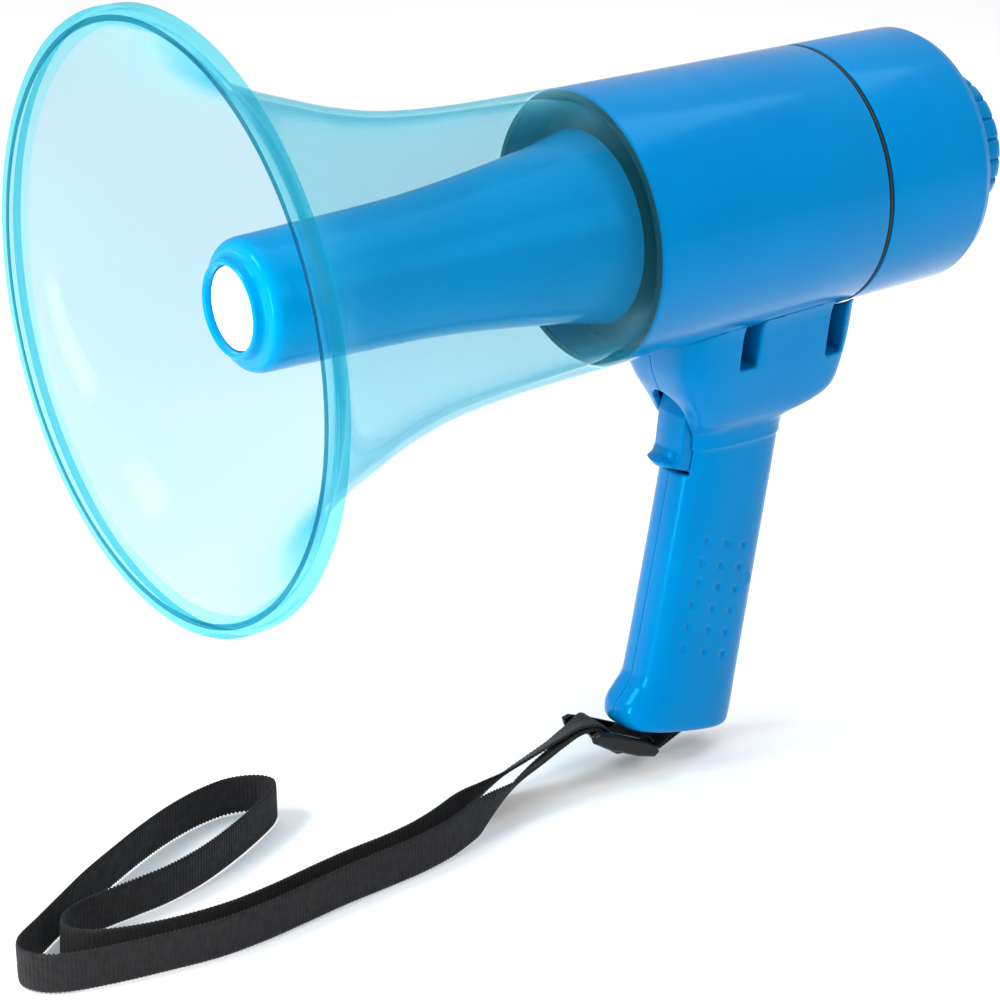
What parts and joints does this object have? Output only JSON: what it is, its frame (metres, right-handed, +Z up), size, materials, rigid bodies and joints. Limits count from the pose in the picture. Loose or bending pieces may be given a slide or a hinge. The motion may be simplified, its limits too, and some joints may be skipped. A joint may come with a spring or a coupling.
{
  "type": "handheld megaphone",
  "caption": "Handheld megaphone with a clear reflex horn, cylindrical body, rear battery module, pistol grip with trigger and a webbing wrist strap.",
  "frame": {"origin": "middle of the hand grip, on the symmetry plane, 75 mm below the underside of the saddle", "axes": "+Z up, +Y from the horn's mouth to the rear along the horn axis, +X to the right of someone who holds it and looks along -Y; the horn axis is 140 mm above the origin"},
  "size_m": [0.208, 0.408, 0.3176],
  "materials": {
    "clear_horn": "clear cyan-tinted polycarbonate, glossy",
    "blue_plastic": "glossy blue ABS",
    "white_plate": "satin white, blank",
    "black_plastic": "satin black",
    "gloss_black": "glossy black acetal",
    "rubber": "black rubber",
    "steel": "zinc-plated steel",
    "brass": "copper-alloy winding",
    "magnet": "ferrite",
    "aluminium": "extruded",
    "cell": "plain wrapped steel can",
    "diaphragm": "phenolic",
    "board": "circuit board",
    "webbing": "woven polyester webbing"
  },
  "bodies": {
    "megaphone": {"horn_bell": "clear_horn", "neck_gasket": "rubber", "reflector_cone": "blue_plastic", "nose_disc": "white_plate", "sound_tube": "black_plastic", "reflector_rib_1": "black_plastic", "reflector_rib_2": "black_plastic", "reflector_rib_3": "black_plastic", "throat_baffle": "black_plastic", "driver_gasket": "rubber", "driver_diaphragm": "diaphragm", "driver_frame": "steel", "voice_coil": "brass", "driver_magnet": "magnet", "driver_yoke": "steel", "driver_screw_1": "steel", "driver_screw_2": "steel", "driver_screw_3": "steel", "body_shell": "blue_plastic", "battery_holder": "black_plastic", "cell_1": "cell", "cell_2": "cell", "cell_3": "cell", "cell_4": "cell", "cell_5": "cell", "cell_6": "cell", "front_contact_1": "steel", "front_contact_2": "steel", "front_contact_3": "steel", "handle_shell_left": "blue_plastic", "handle_shell_right": "blue_plastic", "handle_screw_1": "steel", "handle_screw_2": "steel", "handle_screw_3": "steel", "trigger_pin": "steel", "trigger_spring": "steel", "trigger_switch": "black_plastic", "strap_pin": "steel", "saddle_screw_1": "steel", "saddle_screw_2": "steel", "strap_buckle": "gloss_black", "wrist_strap": "webbing"},
    "cover_seal": {"seal_ring": "rubber"},
    "rear_module": {"rear_cover": "blue_plastic", "rear_contact_plate": "black_plastic", "rear_contact_1": "steel", "rear_contact_2": "steel", "rear_contact_3": "steel", "rear_contact_4": "steel", "amplifier_board": "board", "heat_sink": "aluminium", "module_screw_1": "steel", "module_screw_2": "steel", "module_screw_3": "steel", "mic_holder": "black_plastic", "mic_capsule": "aluminium", "mic_boot": "rubber", "mic_grille": "black_plastic"},
    "volume_dial": {"volume_dial": "blue_plastic"},
    "trigger": {"trigger": "blue_plastic"}
  },
  "joints": [
    {"name": "trigger_pull", "type": "hinge", "parent": "megaphone", "child": "trigger", "pos_m": [0, -0.0075, 0.0675], "axis": [1, 0, 0], "range_deg": [0, 5], "stiffness_Nm_per_rad": 0.35, "springref_deg": -6.88, "deforming": ["trigger_spring"]},
    {"name": "cover_pull", "type": "slide", "parent": "megaphone", "child": "cover_seal", "axis": [0, 1, 0], "range_m": [0, 0.06]},
    {"name": "cover_twist", "type": "hinge", "parent": "cover_seal", "child": "rear_module", "pos_m": [0, 0.045, 0.14], "axis": [0, 1, 0], "range_deg": [0, 30]},
    {"name": "volume_turn", "type": "hinge", "parent": "rear_module", "child": "volume_dial", "pos_m": [0, 0.1, 0.14], "axis": [0, -1, 0], "range_deg": [0, 270]}
  ]
}
